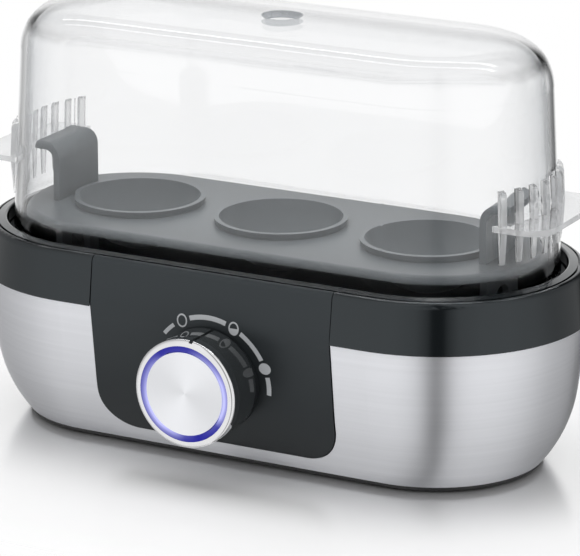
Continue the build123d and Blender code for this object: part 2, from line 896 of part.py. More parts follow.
def make_heating_element():
    """A tube bent to a U, close under the bowl's floor."""
    side = element_spacing / 2
    path = Curve() + [
        Line((element_tail, side), (-element_bend_place, side)),
        CenterArc((-element_bend_place, 0), side, right_angle, half_turn),
        Line((-element_bend_place, -side), (element_tail, -side)),
    ]
    start = Plane(origin=(element_tail, side, 0), z_dir=(-1, 0, 0))
    return Pos(0, 0, element_height()) * sweep(start * Circle(element_radius), path=path.wire())


def make_element_terminals():
    pieces = []
    spade_middle = element_tail + terminal_pin_length + spade_length / 2
    for side in (-element_spacing / 2, element_spacing / 2):
        pin = Plane(origin=(element_tail, side, element_height()), z_dir=(1, 0, 0)) * disc(
            terminal_pin_radius, 0, terminal_pin_length)
        spade = Pos(spade_middle, side, element_height()) * Box(spade_length, spade_thickness, spade_width)
        pieces.append(pin + spade)
    return pieces


def lying_cylinder(place, radius, length):
    """A cylinder along Y, close under the bowl's floor."""
    lying = Cylinder(radius, length, rotation=(right_angle, 0, 0))
    return Pos(place, 0, bowl_underside - slip - radius) * lying


def holding_clip(place, radius):
    """A strip bent round a lying cylinder, with both feet on the bowl's underside."""
    drop = bowl_underside - 2 * radius - 2 * slip
    inner = radius + slip
    outer = inner + clip_sheet
    toe = outer + clip_foot
    foot_top = bowl_underside
    foot_low = bowl_underside - clip_sheet
    face = polygon(
        (-toe, foot_top), (-inner, foot_top), (-inner, drop), (inner, drop), (inner, foot_top),
        (toe, foot_top), (toe, foot_low), (outer, foot_low), (outer, drop - clip_sheet),
        (-outer, drop - clip_sheet), (-outer, foot_low), (-toe, foot_low),
    )
    return Pos(place, 0, 0) * extrude(Plane.XZ * face, amount=clip_width / 2, both=True)


# Write every piece, moved so that the origin lies under the middle of the whole box

pieces = {
    "hood": make_hood(),
    "egg_tray": make_egg_tray(),
    "heating_bowl": make_heating_bowl(),
    "bowl_studs": make_bowl_studs(),
    "bowl_gasket": make_bowl_gasket(),
    "upper_housing": make_upper_housing(),
    "steel_skirt": make_steel_skirt(),
    "control_panel": make_control_panel(),
    "base_plate": make_base_plate(),
    "rubber_feet": make_rubber_feet(),
    "base_screws": make_base_screws(),
    "cord_gland": make_cord_gland(),
    "knob_ring": make_knob_ring(),
    "knob_body": make_knob_body(),
    "knob_shaft": make_knob_shaft(),
    "light_ring": make_light_ring(),
    "start_button": make_start_button(),
    "button_plunger": make_button_plunger(),
    "panel_bush": make_panel_bush(),
    "bush_nut": make_bush_nut(),
    "potentiometer": make_potentiometer(),
    "tact_switch": make_tact_switch(),
    "switch_stem": make_switch_stem(),
    "control_board": make_control_board(),
    "board_screws": make_board_screws(),
    "ring_leds": make_ring_leds(),
    "relay": block_on_board(block_place(relay_size), relay_size),
    "terminal_block": block_on_board(-block_place(terminal_size), terminal_size),
    "buzzer": make_buzzer(),
    "heating_element": make_heating_element(),
    "element_terminals": make_element_terminals(),
    "temperature_sensor": lying_cylinder(0, sensor_radius, sensor_length),
    "thermal_fuse": lying_cylinder(fuse_place, fuse_radius, fuse_length),
    "holding_clips": [holding_clip(0, sensor_radius), holding_clip(fuse_place, fuse_radius)],
}

os.makedirs("parts", exist_ok=True)
for name, shape in pieces.items():
    solids = shape if isinstance(shape, list) else [shape]
    solids = [Pos(0, frame_shift, 0) * solid for group in solids for solid in group.solids()]
    export_step(Compound(children=solids) if len(solids) > 1 else solids[0], f"parts/{name}.step")
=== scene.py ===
import json
import math

import bmesh
import bpy
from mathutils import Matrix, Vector

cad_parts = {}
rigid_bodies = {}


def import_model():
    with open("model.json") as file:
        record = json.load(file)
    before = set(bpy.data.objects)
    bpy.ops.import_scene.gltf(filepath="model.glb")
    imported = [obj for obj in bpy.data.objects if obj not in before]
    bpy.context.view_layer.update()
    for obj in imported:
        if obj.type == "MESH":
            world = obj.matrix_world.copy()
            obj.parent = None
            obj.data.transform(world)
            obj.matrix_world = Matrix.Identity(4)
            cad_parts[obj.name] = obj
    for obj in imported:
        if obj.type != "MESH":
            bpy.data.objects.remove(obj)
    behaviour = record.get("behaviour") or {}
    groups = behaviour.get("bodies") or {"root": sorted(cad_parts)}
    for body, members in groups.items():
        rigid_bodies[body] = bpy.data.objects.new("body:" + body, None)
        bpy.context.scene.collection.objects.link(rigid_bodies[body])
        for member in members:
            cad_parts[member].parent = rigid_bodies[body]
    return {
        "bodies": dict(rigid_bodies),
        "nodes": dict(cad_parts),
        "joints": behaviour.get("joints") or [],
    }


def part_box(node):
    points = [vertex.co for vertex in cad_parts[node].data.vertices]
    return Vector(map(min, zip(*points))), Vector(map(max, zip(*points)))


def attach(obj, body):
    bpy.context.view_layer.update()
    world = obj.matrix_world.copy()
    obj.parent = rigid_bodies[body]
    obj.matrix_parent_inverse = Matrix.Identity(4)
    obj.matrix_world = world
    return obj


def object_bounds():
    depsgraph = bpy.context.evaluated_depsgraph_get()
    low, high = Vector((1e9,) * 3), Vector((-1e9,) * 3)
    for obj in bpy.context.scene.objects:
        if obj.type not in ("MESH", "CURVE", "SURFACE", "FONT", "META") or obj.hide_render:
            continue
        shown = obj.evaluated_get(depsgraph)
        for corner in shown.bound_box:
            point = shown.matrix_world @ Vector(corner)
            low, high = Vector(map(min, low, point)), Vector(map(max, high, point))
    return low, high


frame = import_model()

bl_info = {
    "name": "Egg Cooker Finish",
    "version": (1, 0, 0),
    "blender": (4, 5, 0),
    "location": "View3D > Sidebar > Cooker",
    "description": "Finishes the packed egg cooker and sets up its studio",
    "category": "Object",
}

MM = 0.001

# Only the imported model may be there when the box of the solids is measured
kept = set(frame["nodes"].values()) | set(frame["bodies"].values())
for stray in [thing for thing in bpy.data.objects if thing not in kept]:
    bpy.data.objects.remove(stray)
cad_low, cad_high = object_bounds()

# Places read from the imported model
turn_joint = next(joint for joint in frame["joints"] if joint["name"] == "knob_turn")
dial_centre = Vector(turn_joint["pos_m"])
ring_low, ring_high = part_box("knob_ring")
dial_radius = (ring_high.x - ring_low.x) / 2
lit_low, lit_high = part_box("light_ring")
ring_radius = (lit_high.x - lit_low.x) / 2
disc_low, disc_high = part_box("start_button")
disc_radius = (disc_high.x - disc_low.x) / 2
body_low, body_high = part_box("upper_housing")
body_middle = (body_low + body_high) / 2
_, hood_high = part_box("hood")
skirt_low, skirt_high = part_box("steel_skirt")
panel_low, panel_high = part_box("control_panel")
end_centre = (body_high.x - body_low.x - body_high.y + body_low.y) / 2

# The hood's outer radius at the height of the housing's top, and how far it comes in with height
WALL_FOOT = 38.0 * MM
WALL_LEAN = 2.85 / 55

# Where the hood's finish changes: out from the vent's axis, below the hood's top and out from its wall
VENT_EDGE = (6.2 * MM, 6.6 * MM)
CROWN_EDGE = (10 * MM, 5 * MM)
GRIP_EDGE = (0.1 * MM, 0.4 * MM)

# The strip of the hood that is less shiny, in heights above the housing's top
FOOT_START = (-2 * MM, -1 * MM)
FOOT_END = (2 * MM, 6 * MM)

# How pale the lit ring's glow is, by degrees clockwise from its top; its paler stretches are painted
# reflection
GLOW_LEVELS = (
    (-180, 0.1), (-165, 0.5), (-140, 0.9), (-110, 0.75), (-85, 0.5), (-55, 0.3), (-35, 0.03), (5, 0.05),
    (25, 0.3), (50, 0.5), (70, 0.85), (100, 1.0), (115, 0.8), (128, 0.1), (160, 0.0), (180, 0.1),
)

# How bright shiny surfaces see the room, by degrees to the right of the camera's place
ROOM_LEVELS = (
    (-168, 1.0), (-163, 0.95), (-150, 0.4), (-114, 0.55), (-95, 0.68), (-75, 0.88), (-54, 1.0), (-32, 1.0),
    (-16, 0.85), (-7, 0.45), (-4, 0.12), (4, 0.12), (7, 0.4), (16, 0.85), (32, 1.0), (54, 1.0), (75, 0.85),
    (95, 0.55), (114, 0.45), (128, 0.38), (140, 0.08), (152, 0.05), (163, 0.95), (168, 1.0),
)

# The room's upper back is darker: from this heading on, and from this height on, as a sine
BACK_START = (math.radians(125), math.radians(155))
CEILING_START = (0.42, 0.56)

# Distances from the object's middle line over which the floor changes
POLISH_END = (0.035, 0.08)
MIRROR_START = (0.036, 0.043)
FADE_OUT = (0.04, 0.17)

# Places and sides of the softbox and the strip
SOFTBOX_PLACE = (-0.15, 0.05, 1.1)
SOFTBOX_SIDES = (1.1, 0.8)
STRIP_PLACE = (-0.35, 0.61, 1.1)
STRIP_SIDES = (1.5, 0.09)

SENSOR_WIDTH = 36.0

# Places of the printed bars and ovals, in degrees clockwise from the dial's top
FIRST_BAR = (-50.5, -36.5)
BARS = ((-18.5, 18), (34, 64), (80, 97))
OPEN_OVAL, HALF_OVAL, FULL_OVAL = -26.8, 26.6, 71.8

# Fine steps of the print: degrees along a bar, corners round an oval and the distance that is welded
BAR_STEP = 1.5
OVAL_STEPS = 40
WELD = 0.002 * MM


# Shader graphs


def feed(tree, socket, value):
    """Link a wire to a socket, or set the socket's own value."""
    if isinstance(value, Wire):
        tree.links.new(value.socket, socket)
    else:
        socket.default_value = value


class Wire:
    """A node's output, whose arithmetic adds Math nodes."""

    def __init__(self, tree, socket):
        self.tree = tree
        self.socket = socket

    def __getitem__(self, name):
        """Another output of the same node."""
        return Wire(self.tree, self.socket.node.outputs[name])

    def math(self, operation, *values):
        """A Math node on these values."""
        node = self.tree.nodes.new("ShaderNodeMath")
        node.operation = operation
        for socket, value in zip(node.inputs, values):
            feed(self.tree, socket, value)
        return Wire(self.tree, node.outputs[0])

    def __add__(self, other):
        return self.math("ADD", self, other)

    def __radd__(self, other):
        return self.math("ADD", other, self)

    def __sub__(self, other):
        return self.math("SUBTRACT", self, other)

    def __rsub__(self, other):
        return self.math("SUBTRACT", other, self)

    def __mul__(self, other):
        return self.math("MULTIPLY", self, other)

    def __rmul__(self, other):
        return self.math("MULTIPLY", other, self)

    def __truediv__(self, other):
        return self.math("DIVIDE", self, other)

    def __rtruediv__(self, other):
        return self.math("DIVIDE", other, self)

    def __pow__(self, power):
        return self.math("POWER", self, power)

    def __rpow__(self, base):
        return self.math("POWER", base, self)

    def __abs__(self):
        return self.math("ABSOLUTE", self)


class Graph:
    """A node tree that is filled from scratch."""

    def __init__(self, tree):
        self.tree = tree
        tree.nodes.clear()

    def node(self, kind, settings=(), sockets=(), output=0):
        """Add a node, set it up, feed its sockets and return one of its outputs."""
        node = self.tree.nodes.new(kind)
        for name, value in dict(settings).items():
            if name == "stops":
                self.set_stops(node.color_ramp, value)
            else:
                setattr(node, name, value)
        for name, value in dict(sockets).items():
            feed(self.tree, node.inputs[name], value)
        return Wire(self.tree, node.outputs[output]) if node.outputs else None

    @staticmethod
    def set_stops(ramp, stops):
        """Give a ramp grey stops, each a place and a level."""
        while len(ramp.elements) < len(stops):
            ramp.elements.new(1.0)
        for element, (place, level) in zip(ramp.elements, stops):
            element.position = place
            element.color = (level, level, level, 1.0)

    def place(self):
        """The spot on the surface in the piece's own frame, in metres."""
        return self.node("ShaderNodeTexCoord", output="Object")

    def parts(self, vector):
        """A vector's three numbers."""
        split = self.node("ShaderNodeSeparateXYZ", {}, {"Vector": vector})
        return split["X"], split["Y"], split["Z"]

    def stretched(self, vector, sizes):
        """Coordinates in which a noise of scale 1 has these sizes, in metres."""
        scale = tuple(1 / size for size in sizes)
        return self.node("ShaderNodeMapping", {}, {"Vector": vector, "Scale": scale})

    def noise(self, vector, size=1.0, detail=2.0):
        """Soft noise whose blobs have this size, in metres."""
        sockets = {"Vector": vector, "Scale": 1 / size, "Detail": detail}
        return self.node("ShaderNodeTexNoise", {}, sockets)

    def step(self, value, low, high, bottom=0.0, top=1.0):
        """A smooth step from bottom to top as the value runs from low to high."""
        sockets = {"Value": value, "From Min": low, "From Max": high, "To Min": bottom, "To Max": top}
        return self.node("ShaderNodeMapRange", {"interpolation_type": "SMOOTHSTEP"}, sockets)

    def blend(self, factor, first, second):
        """A colour between two colours."""
        sockets = {0: factor, 6: first, 7: second}
        return self.node("ShaderNodeMix", {"data_type": "RGBA"}, sockets, output=2)

    def mix(self, factor, first, second):
        """A surface between two surfaces."""
        return self.node("ShaderNodeMixShader", {}, {0: factor, 1: first, 2: second})

    def bump(self, height, depth):
        """A normal tilted by a height that runs over this depth, in metres."""
        return self.node("ShaderNodeBump", {}, {"Height": height, "Distance": depth, "Strength": 1.0})

    def principled(self, sockets):
        """A surface set up by its sockets."""
        return self.node("ShaderNodeBsdfPrincipled", {}, sockets)

    def surface(self, shader):
        """Make this the material's surface."""
        self.node("ShaderNodeOutputMaterial", {}, {"Surface": shader})


def rgb(colour, level=1.0):
    """A colour at this level, as a socket takes it."""
    return (colour[0] * level, colour[1] * level, colour[2] * level, 1.0)


def new_material(name):
    """A material and its empty graph."""
    material = bpy.data.materials.new(name)
    material.use_nodes = True
    return material, Graph(material.node_tree)


def ring_stops(levels):
    """Stops of a ramp that runs once round, from levels at degrees between -180 and 180."""
    return [(0.5 + degrees / 360, level) for degrees, level in levels]


def dress(material, *nodes):
    """Give CAD nodes a material."""
    for name in nodes:
        for slot in frame["nodes"][name].material_slots:
            slot.material = material


# Finishes


def moulded_plastic(name, colour, roughness, grain=0.0003, depth=0.000004, tint=(1, 1, 1), specular=0.5,
                    coat=0.0, painted_shade_heights=None):
    """Plastic with a fine grain, whose upper faces may be coated and whose colour may be darkened
    downwards as painted shade.
    """
    material, graph = new_material(name)
    place = graph.place()
    cloud = graph.noise(place, 0.035)
    fine = graph.noise(place, grain, 3.0)
    base = graph.blend(cloud, rgb(colour, 0.9), rgb(colour, 1.1))
    # Painted shade: between these heights the colour darkens towards the bottom.
    if painted_shade_heights:
        _, _, z = graph.parts(place)
        base = graph.blend(graph.step(z, *painted_shade_heights), rgb(colour, 0.15), base)
    gloss = roughness + (cloud - 0.5) * 0.05 + (fine - 0.5) * 0.08
    _, _, up = graph.parts(graph.node("ShaderNodeNewGeometry", output="Normal"))
    graph.surface(graph.principled({
        "Base Color": base,
        "Roughness": gloss,
        "Specular IOR Level": specular,
        "Specular Tint": rgb(tint),
        "Coat Weight": graph.step(up, 0.6, 0.95) * coat if coat else 0.0,
        "Normal": graph.bump(fine, depth),
    }))
    return material


def clear_plastic(name, colour, edge_colour, milk_colour):
    """Clear moulded plastic, greyer where one looks along its walls, with milky grips at its ends."""
    material, graph = new_material(name)
    place = graph.place()
    x, y, z = graph.parts(place)
    ripple = graph.noise(place, 0.05)
    edge = graph.node("ShaderNodeLayerWeight", {}, {"Blend": 0.5}, output="Facing")
    walls = graph.principled({
        "Base Color": graph.blend(edge ** 2, rgb(colour), rgb(edge_colour)),
        "Roughness": 0.01 + ripple * 0.02,
        "IOR": 1.49,
        "Transmission Weight": 1.0,
    })
    side = y - body_middle.y
    # Inside the vent the see-through colour is the darker edge colour: painted shade on the vent's wall.
    vent = 1 - graph.step(x * x + side * side, VENT_EDGE[0] ** 2, VENT_EDGE[1] ** 2)
    thin = graph.node("ShaderNodeBsdfTransparent", {}, {"Color": rgb(colour, 0.975)})
    painted_vent_shade = graph.node("ShaderNodeBsdfTransparent", {}, {"Color": rgb(edge_colour)})
    shine = graph.node("ShaderNodeBsdfGlossy", {}, {"Color": rgb(colour), "Roughness": 0.03})
    crown = graph.mix(0.04 + 0.9 * edge ** 5, graph.mix(0.65 * vent, thin, painted_vent_shade), shine)
    high = graph.step(z, hood_high.z - CROWN_EDGE[0], hood_high.z - CROWN_EDGE[1])
    glance = graph.step(edge, 0.56, 0.76, 0.0, 0.7)
    above = z - body_high.z
    foot = 0.92 * graph.step(above, *FOOT_START) * graph.step(above, *FOOT_END, 1.0, 0.0)
    dulled = graph.mix(foot, graph.mix(glance, walls, shine), thin)
    clear = graph.mix(high, dulled, crown)
    milky = graph.principled({
        "Base Color": graph.blend(ripple, rgb(milk_colour, 0.96), rgb(milk_colour, 1.02)),
        "Roughness": 0.08,
    })
    across = abs(x) - end_centre
    out = (across * across + side * side) ** 0.5
    past = out - (WALL_FOOT - WALL_LEAN * (z - body_high.z))
    grip = graph.step(past, *GRIP_EDGE) * graph.step(across, 0.0, 1 * MM)
    _, _, up = graph.parts(graph.node("ShaderNodeNewGeometry", output="Normal"))
    cloudy = grip * graph.step(abs(up), 0.3, 0.8, 0.36, 0.22)
    graph.surface(graph.mix(cloudy, graph.mix(grip * 0.4, clear, crown), milky))
    return material


def brushed_steel(name, colour):
    """Steel brushed along its length: fine level scratches that smear reflections up and down, with
    painted shade darkening its colour towards the foot.
    """
    material, graph = new_material(name)
    place = graph.place()
    scratch = graph.noise(graph.stretched(place, (0.03, 0.03, 0.00014)), detail=3.0)
    streak = graph.noise(graph.stretched(place, (0.08, 0.08, 0.0012)))
    _, _, z = graph.parts(place)
    # Brushed streaks, plus painted shade: the colour darkens from the skirt's top to its foot.
    streaks_and_painted_shade = 0.25 * streak + 0.75 * graph.step(z, skirt_low.z, skirt_high.z)
    base = graph.blend(streaks_and_painted_shade, rgb(colour, 0.7), rgb(colour, 1.1))
    graph.surface(graph.principled({
        "Base Color": base,
        "Metallic": 1.0,
        "Roughness": 0.4 + scratch * 0.05,
        "Anisotropic": 1.0,
        "Anisotropic Rotation": 0.25,
        "Normal": graph.bump(scratch, 0.000006),
    }))
    return material


def plated(name, colour, roughness):
    """Bright or plain plated metal."""
    material, graph = new_material(name)
    place = graph.place()
    cloud = graph.noise(place, 0.004)
    base = graph.blend(cloud, rgb(colour, 0.96), rgb(colour, 1.03))
    graph.surface(graph.principled({
        "Base Color": base,
        "Metallic": 1.0,
        "Roughness": roughness + (cloud - 0.5) * roughness * 0.5,
    }))
    return material


def dial_polar(graph):
    """Distance from the dial's axis and angle from its top, clockwise from the front."""
    x, _, z = graph.parts(graph.place())
    across = x - dial_centre.x
    up = z - dial_centre.z
    radius = (across * across + up * up) ** 0.5
    return radius, across.math("ARCTAN2", across, up)


def spun_metal(name, colour):
    """A face turned in fine circles, with two bright and two darker fans painted into its colour as
    painted highlight and shade.
    """
    material, graph = new_material(name)
    radius, angle = dial_polar(graph)
    groove = graph.noise(graph.node("ShaderNodeCombineXYZ", {}, {"X": radius}), 0.00025, 3.0)
    # Painted highlight: by angle round the dial the colour is lighter in two opposite fans and darker
    # between them; the grooves add real fine variation.
    fan = 2 * (angle - math.radians(17))
    bright = 0.5 + 0.42 * fan.math("COSINE", fan) + (groove - 0.5) * 0.25
    base = graph.blend(bright, rgb(colour, 0.9), rgb(colour, 1.09))
    graph.surface(graph.principled({
        "Base Color": base,
        "Metallic": 1.0,
        "Roughness": 0.34 + groove * 0.06,
        "Normal": graph.bump(groove, 0.000004),
    }))
    return material


def lit_ring(name, deep, pale):
    """A clear ring lit from behind, deep blue with paler stretches of painted reflection, palest beside
    the disc.
    """
    material, graph = new_material(name)
    radius, angle = dial_polar(graph)
    stops = ring_stops(GLOW_LEVELS)
    # Painted reflection: the glow and the colour are paler in stretches by angle round the dial.
    painted_reflection = graph.node("ShaderNodeValToRGB", {"stops": stops}, {0: 0.5 + angle / (2 * math.pi)})
    inward = graph.step(radius, disc_radius, ring_radius, 1.35, 0.45)
    share = painted_reflection * inward
    glow = graph.blend(share, rgb(deep), rgb(pale))
    graph.surface(graph.principled({
        "Base Color": graph.blend(share, rgb(deep, 0.2), rgb(pale, 0.1)),
        "Roughness": 0.2,
        "Specular IOR Level": 0.15,
        "Emission Color": glow,
        "Emission Strength": 1.0,
    }))
    return material


def soft_rubber(name, colour):
    """Matt moulded rubber."""
    material, graph = new_material(name)
    place = graph.place()
    fine = graph.noise(place, 0.0005, 4.0)
    base = graph.blend(fine, rgb(colour, 0.8), rgb(colour, 1.2))
    graph.surface(graph.principled({
        "Base Color": base,
        "Roughness": 0.6 + fine * 0.2,
        "Normal": graph.bump(fine, 0.00002),
    }))
    return material


def lacquered_board(name, colour, track_colour):
    """Green lacquer over a faint pattern of copper tracks."""
    material, graph = new_material(name)
    place = graph.place()
    cells = {"Vector": place, "Scale": 220.0}
    tracks = graph.node("ShaderNodeTexVoronoi", {"feature": "DISTANCE_TO_EDGE"}, cells)
    base = graph.blend(graph.step(tracks, 0.04, 0.1), rgb(track_colour), rgb(colour))
    graph.surface(graph.principled({
        "Base Color": base,
        "Roughness": 0.3 + tracks * 0.1,
        "Normal": graph.bump(tracks, 0.00002),
    }))
    return material


# Settings


class StageSettings(bpy.types.PropertyGroup):
    """Camera, floor and light."""

    azimuth: bpy.props.FloatProperty(
        name="Azimuth", description="How far the camera stands to the right of the front",
        default=math.radians(28.166), subtype="ANGLE")
    elevation: bpy.props.FloatProperty(
        name="Elevation", description="How far the camera looks down",
        default=math.radians(17.001), subtype="ANGLE")
    distance: bpy.props.FloatProperty(
        name="Distance", description="From the camera to the point it looks at",
        default=1.2041, unit="LENGTH")
    lens: bpy.props.FloatProperty(
        name="Lens", description="Focal length on a 36 mm wide sensor",
        default=241.9, subtype="DISTANCE_CAMERA")
    aim: bpy.props.FloatVectorProperty(
        name="Aim", description="The point the camera looks at",
        default=(0.00267, 0.00725, 0.04986), subtype="TRANSLATION")
    floor_radius: bpy.props.FloatProperty(
        name="Floor radius", description="How far the floor reaches", default=4.0, unit="LENGTH")
    floor_colour: bpy.props.FloatVectorProperty(
        name="Floor colour", description="Colour of the pale floor",
        default=(0.94, 0.94, 0.945), subtype="COLOR")
    floor_polish: bpy.props.FloatProperty(
        name="Floor polish", description="Share of the floor that mirrors, beside the object",
        default=0.62, subtype="FACTOR")
    sky_level: bpy.props.FloatProperty(
        name="Sky level", description="How bright the white room lights matt surfaces",
        default=0.72)
    softbox_power: bpy.props.FloatProperty(
        name="Softbox power", description="Light of the large box overhead",
        default=5.2, subtype="POWER")
    strip_power: bpy.props.FloatProperty(
        name="Strip power", description="Light of the narrow strip behind the object",
        default=1.8, subtype="POWER")


class ScaleSettings(bpy.types.PropertyGroup):
    """The scale printed round the dial."""

    radius: bpy.props.FloatProperty(
        name="Radius", description="Middle of the bars, from the dial's axis",
        default=19.7 * MM, unit="LENGTH")
    bar_width: bpy.props.FloatProperty(
        name="Bar width", description="Width of the bars", default=1.5 * MM, unit="LENGTH")
    oval_width: bpy.props.FloatProperty(
        name="Oval width", description="Width of an oval sign", default=3.5 * MM, unit="LENGTH")
    oval_height: bpy.props.FloatProperty(
        name="Oval height", description="Height of an oval sign", default=4.3 * MM, unit="LENGTH")
    line: bpy.props.FloatProperty(
        name="Line", description="Width of an oval's outline", default=0.42 * MM, unit="LENGTH")
    thickness: bpy.props.FloatProperty(
        name="Thickness", description="How far the print stands off the panel",
        default=0.05 * MM, unit="LENGTH")
    colour: bpy.props.FloatVectorProperty(
        name="Colour", description="Colour of the print",
        default=(0.56, 0.58, 0.6), subtype="COLOR")


class FinishSettings(bpy.types.PropertyGroup):
    """Colours of the finishes."""

    housing: bpy.props.FloatVectorProperty(
        name="Housing", description="Dark glossy plastic of the band",
        default=(0.0025, 0.004, 0.005), subtype="COLOR")
    panel: bpy.props.FloatVectorProperty(
        name="Panel", description="Satin plastic of the panel",
        default=(0.028, 0.0325, 0.0355), subtype="COLOR")
    tray: bpy.props.FloatVectorProperty(
        name="Tray", description="Grey plastic of the tray",
        default=(0.15, 0.167, 0.178), subtype="COLOR")
    bowl: bpy.props.FloatVectorProperty(
        name="Bowl", description="Dark coating of the bowl",
        default=(0.007, 0.01, 0.011), subtype="COLOR")
    steel: bpy.props.FloatVectorProperty(
        name="Steel", description="Brushed steel of the skirt",
        default=(0.88, 0.89, 0.925), subtype="COLOR")
    chrome: bpy.props.FloatVectorProperty(
        name="Chrome", description="Bright ring of the dial",
        default=(0.8, 0.8, 0.81), subtype="COLOR")
    disc: bpy.props.FloatVectorProperty(
        name="Disc", description="Turned metal of the button",
        default=(0.85, 0.86, 0.885), subtype="COLOR")
    glow_deep: bpy.props.FloatVectorProperty(
        name="Deep glow", description="Darkest blue of the lit ring",
        default=(0.012, 0.012, 0.27), subtype="COLOR")
    glow_pale: bpy.props.FloatVectorProperty(
        name="Pale glow", description="Palest blue of the lit ring",
        default=(0.55, 0.56, 1.0), subtype="COLOR")
    clear: bpy.props.FloatVectorProperty(
        name="Clear", description="Clear plastic of the hood",
        default=(0.99, 0.992, 0.995), subtype="COLOR")
    clear_edge: bpy.props.FloatVectorProperty(
        name="Clear edge", description="The clear plastic seen along its wall",
        default=(0.3, 0.33, 0.36), subtype="COLOR")
    milky: bpy.props.FloatVectorProperty(
        name="Milky", description="Slightly milky grips at the ends of the hood",
        default=(0.86, 0.87, 0.88), subtype="COLOR")


# Pieces


class COOKER_OT_hood(bpy.types.Operator):
    """Finish the clear hood"""

    bl_idname = "cooker.hood"
    bl_label = "Hood"
    bl_options = {"REGISTER", "UNDO"}

    def execute(self, context):
        colours = context.scene.cooker_finish
        dress(clear_plastic("clear_hood", colours.clear, colours.clear_edge, colours.milky), "hood")
        return {"FINISHED"}


class COOKER_OT_tray(bpy.types.Operator):
    """Finish the tray and the bowl under it"""

    bl_idname = "cooker.tray"
    bl_label = "Tray and bowl"
    bl_options = {"REGISTER", "UNDO"}

    def execute(self, context):
        colours = context.scene.cooker_finish
        dress(moulded_plastic("tray_plastic", colours.tray, 0.34, specular=0.25), "egg_tray")
        dress(moulded_plastic("bowl_coating", colours.bowl, 0.35, 0.0008, 0.00001), "heating_bowl")
        return {"FINISHED"}


class COOKER_OT_housing(bpy.types.Operator):
    """Finish the band, the panel, the base and the rubber pieces"""

    bl_idname = "cooker.housing"
    bl_label = "Housing and base"
    bl_options = {"REGISTER", "UNDO"}

    def execute(self, context):
        colours = context.scene.cooker_finish
        cool = (0.86, 0.95, 1.0)
        dress(moulded_plastic("housing_plastic", colours.housing, 0.1, tint=cool, specular=0.65,
                              coat=0.25), "upper_housing")
        # The panel's colour darkens towards its foot: painted shade.
        dress(moulded_plastic("panel_plastic", colours.panel, 0.42, tint=cool, specular=0.4,
                              painted_shade_heights=(panel_low.z, panel_high.z)), "control_panel")
        dress(moulded_plastic("base_plastic", (0.012, 0.012, 0.013), 0.45, 0.0006, 0.00002), "base_plate")
        dress(soft_rubber("foot_rubber", (0.02, 0.02, 0.02)), "rubber_feet")
        dress(soft_rubber("seal_rubber", (0.03, 0.03, 0.03)), "bowl_gasket", "cord_gland")
        return {"FINISHED"}


class COOKER_OT_skirt(bpy.types.Operator):
    """Finish the steel skirt"""

    bl_idname = "cooker.skirt"
    bl_label = "Steel skirt"
    bl_options = {"REGISTER", "UNDO"}

    def execute(self, context):
        dress(brushed_steel("brushed_steel", context.scene.cooker_finish.steel), "steel_skirt")
        return {"FINISHED"}


class COOKER_OT_dial(bpy.types.Operator):
    """Finish the dial with its ring, its light and its button"""

    bl_idname = "cooker.dial"
    bl_label = "Dial"
    bl_options = {"REGISTER", "UNDO"}

    def execute(self, context):
        colours = context.scene.cooker_finish
        dress(plated("dial_chrome", colours.chrome, 0.04), "knob_ring")
        dress(moulded_plastic("barrel_plastic", (0.032, 0.036, 0.038), 0.05, specular=1.0,
                              coat=1.0), "knob_body")
        dress(lit_ring("lit_ring", colours.glow_deep, colours.glow_pale), "light_ring")
        dress(spun_metal("turned_disc", colours.disc), "start_button")
        return {"FINISHED"}


class COOKER_OT_insides(bpy.types.Operator):
    """Finish what the housing holds"""

    bl_idname = "cooker.insides"
    bl_label = "Insides"
    bl_options = {"REGISTER", "UNDO"}

    def execute(self, context):
        dress(plated("plain_steel", (0.55, 0.55, 0.56), 0.3), "bowl_studs", "base_screws", "knob_shaft",
              "bush_nut", "board_screws", "holding_clips")
        dress(plated("turned_brass", (0.7, 0.5, 0.22), 0.25), "panel_bush", "element_terminals")
        dress(plated("element_tube", (0.28, 0.26, 0.25), 0.4), "heating_element", "temperature_sensor")
        dress(moulded_plastic("component_case", (0.02, 0.02, 0.022), 0.4), "potentiometer", "tact_switch",
              "relay", "buzzer")
        dress(moulded_plastic("pale_plastic", (0.72, 0.7, 0.65), 0.4), "button_plunger", "switch_stem",
              "terminal_block", "thermal_fuse")
        dress(moulded_plastic("led_lens", (0.35, 0.38, 0.8), 0.1), "ring_leds")
        dress(lacquered_board("board_lacquer", (0.02, 0.14, 0.05), (0.09, 0.22, 0.07)), "control_board")
        return {"FINISHED"}


# Printed scale


def panel_spot(x, z, lift):
    """The point of the panel behind (x, z), a little in front of its face."""
    start = Vector((x, cad_low.y - dial_radius, z))
    hit, spot, normal, _ = frame["nodes"]["control_panel"].ray_cast(start, Vector((0, 1, 0)))
    if not hit:
        raise RuntimeError(f"no panel behind x {x:.4f}, z {z:.4f}")
    return spot + normal * lift


